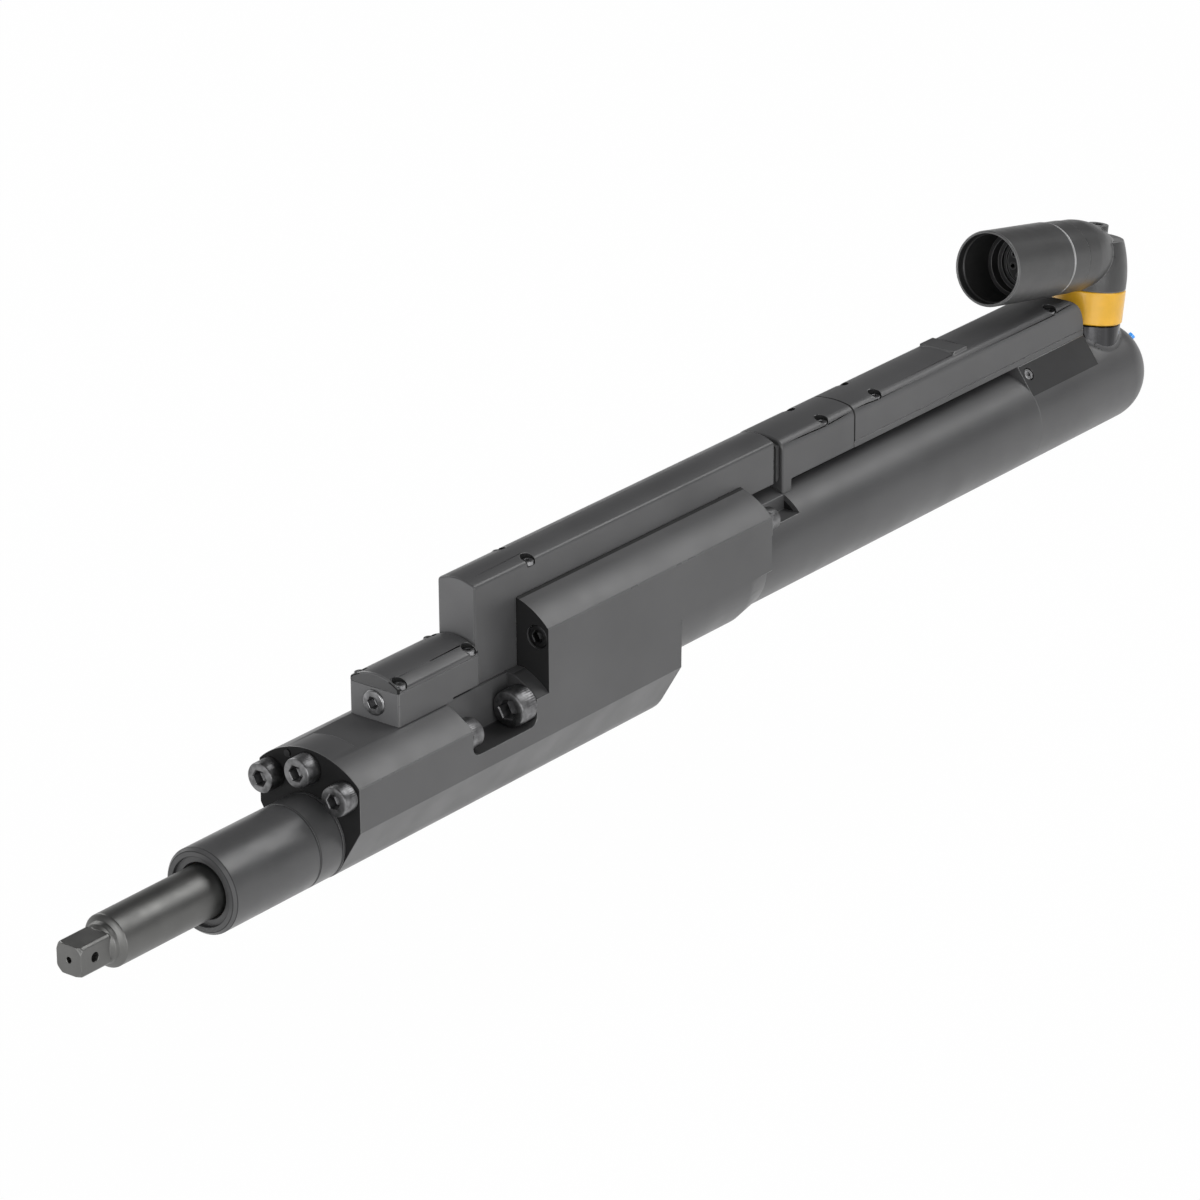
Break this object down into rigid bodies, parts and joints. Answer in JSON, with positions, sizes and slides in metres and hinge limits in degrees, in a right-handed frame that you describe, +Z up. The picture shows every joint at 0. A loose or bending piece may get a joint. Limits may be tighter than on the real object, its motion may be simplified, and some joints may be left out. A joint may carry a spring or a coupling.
{
  "type": "fixtured nutrunner",
  "caption": "In-line fixtured nutrunner with an offset gear head, sprung square drive spindle, flange pilot, torque transducer block, tube motor and tilted swivel cable connector.",
  "frame": {"origin": "where the spindle axis meets the front face of the mounting flange", "axes": "+X back along the spindle towards the motor, +Z up from the spindle axis to the motor axis, +Y to the left seen from behind"},
  "size_m": [0.725, 0.0536, 0.141],
  "materials": {
    "black_anodised": "satin black anodised aluminium",
    "dark_steel": "burnished dark steel",
    "black_screws": "blackened cap screws",
    "steel": "ground steel",
    "small_screws": "plain small screws",
    "bronze": "sintered bronze",
    "seal_rubber": "black rubber",
    "copper": "enamelled copper wire",
    "magnet": "nickel plated magnets",
    "rail_black": "black anodised rail",
    "board_green": "green circuit board",
    "lens_blue": "clear blue lens",
    "neck_metal": "plain turned metal",
    "yellow": "yellow moulded band",
    "connector_black": "satin dark coated metal",
    "insert_plastic": "black insert",
    "contact_gold": "gilt contacts"
  },
  "bodies": {
    "housing": {"block_lid": "black_anodised", "block_plug": "small_screws", "bore_cap": "steel", "cable_channel": "black_anodised", "case_screws": "black_screws", "channel_duct": "seal_rubber", "connector_neck": "neck_metal", "cover_base": "black_anodised", "cover_front": "black_anodised", "cover_rail": "rail_black", "cover_screws": "small_screws", "dowel_pin": "steel", "drive_board": "board_green", "end_shield": "steel", "flange_screws": "black_screws", "front_housing": "black_anodised", "gear_case": "black_anodised", "guide_sleeve": "dark_steel", "housing_screws": "black_screws", "lid_screws": "small_screws", "motor_bearings": "steel", "motor_cover": "black_anodised", "motor_flange": "black_anodised", "motor_screws": "black_screws", "motor_tube": "black_anodised", "output_bearings": "steel", "pinion_bearings": "steel", "rear_flange_screws": "black_screws", "rear_housing": "black_anodised", "rear_screws": "small_screws", "resolver": "copper", "ring_gear": "steel", "signal_board": "board_green", "spindle_bushes": "bronze", "stator": "steel", "status_lens": "lens_blue", "torque_coil": "copper", "transducer_block": "black_anodised", "windings": "copper", "wiper_seal": "seal_rubber"},
    "output": {"drive_shaft": "steel", "output_gear": "steel", "gear_circlips": "steel", "return_spring": "steel"},
    "spindle": {"spindle": "dark_steel"},
    "carrier": {"pinion": "steel", "planet_pins": "steel"},
    "planet_1": {"planet_gear_1": "steel"},
    "planet_2": {"planet_gear_2": "steel"},
    "planet_3": {"planet_gear_3": "steel"},
    "rotor": {"rotor": "steel", "rotor_magnets": "magnet", "resolver_rotor": "steel"},
    "connector": {"colour_band": "yellow", "connector_elbow": "connector_black", "coupling_ring": "connector_black", "connector_barrel": "connector_black", "insert_ring": "connector_black", "contact_insert": "insert_plastic", "contact_sockets": "contact_gold"}
  },
  "joints": [
    {"name": "output_spin", "type": "hinge", "parent": "housing", "child": "output", "pos_m": [0, 0, 0], "axis": [1, 0, 0], "continuous": true},
    {"name": "spindle_slide", "type": "slide", "parent": "output", "child": "spindle", "axis": [1, 0, 0], "range_m": [0, 0.05], "stiffness_N_per_m": 600, "springref_m": -0.05, "deforming": ["return_spring"]},
    {"name": "pinion_spin", "type": "hinge", "parent": "housing", "child": "carrier", "pos_m": [0, 0, 0.0304], "axis": [1, 0, 0], "continuous": true},
    {"name": "planet_spin_1", "type": "hinge", "parent": "carrier", "child": "planet_1", "pos_m": [0.225, 0, 0.0424], "axis": [1, 0, 0], "continuous": true},
    {"name": "planet_spin_2", "type": "hinge", "parent": "carrier", "child": "planet_2", "pos_m": [0.225, -0.01039, 0.0244], "axis": [1, 0, 0], "continuous": true},
    {"name": "planet_spin_3", "type": "hinge", "parent": "carrier", "child": "planet_3", "pos_m": [0.225, 0.01039, 0.0244], "axis": [1, 0, 0], "continuous": true},
    {"name": "rotor_spin", "type": "hinge", "parent": "housing", "child": "rotor", "pos_m": [0, 0, 0.0304], "axis": [1, 0, 0], "continuous": true},
    {"name": "connector_swivel", "type": "hinge", "parent": "housing", "child": "connector", "pos_m": [0.551, 0, 0.046], "axis": [0.1822, 0, 0.9833], "range_deg": [-160, 160]}
  ],
  "couplings": [
    {"joint": "pinion_spin", "follows": "output_spin", "ratio": -1},
    {"joint": "planet_spin_1", "follows": "output_spin", "ratio": 3},
    {"joint": "planet_spin_2", "follows": "output_spin", "ratio": 3},
    {"joint": "planet_spin_3", "follows": "output_spin", "ratio": 3},
    {"joint": "rotor_spin", "follows": "output_spin", "ratio": -4}
  ]
}
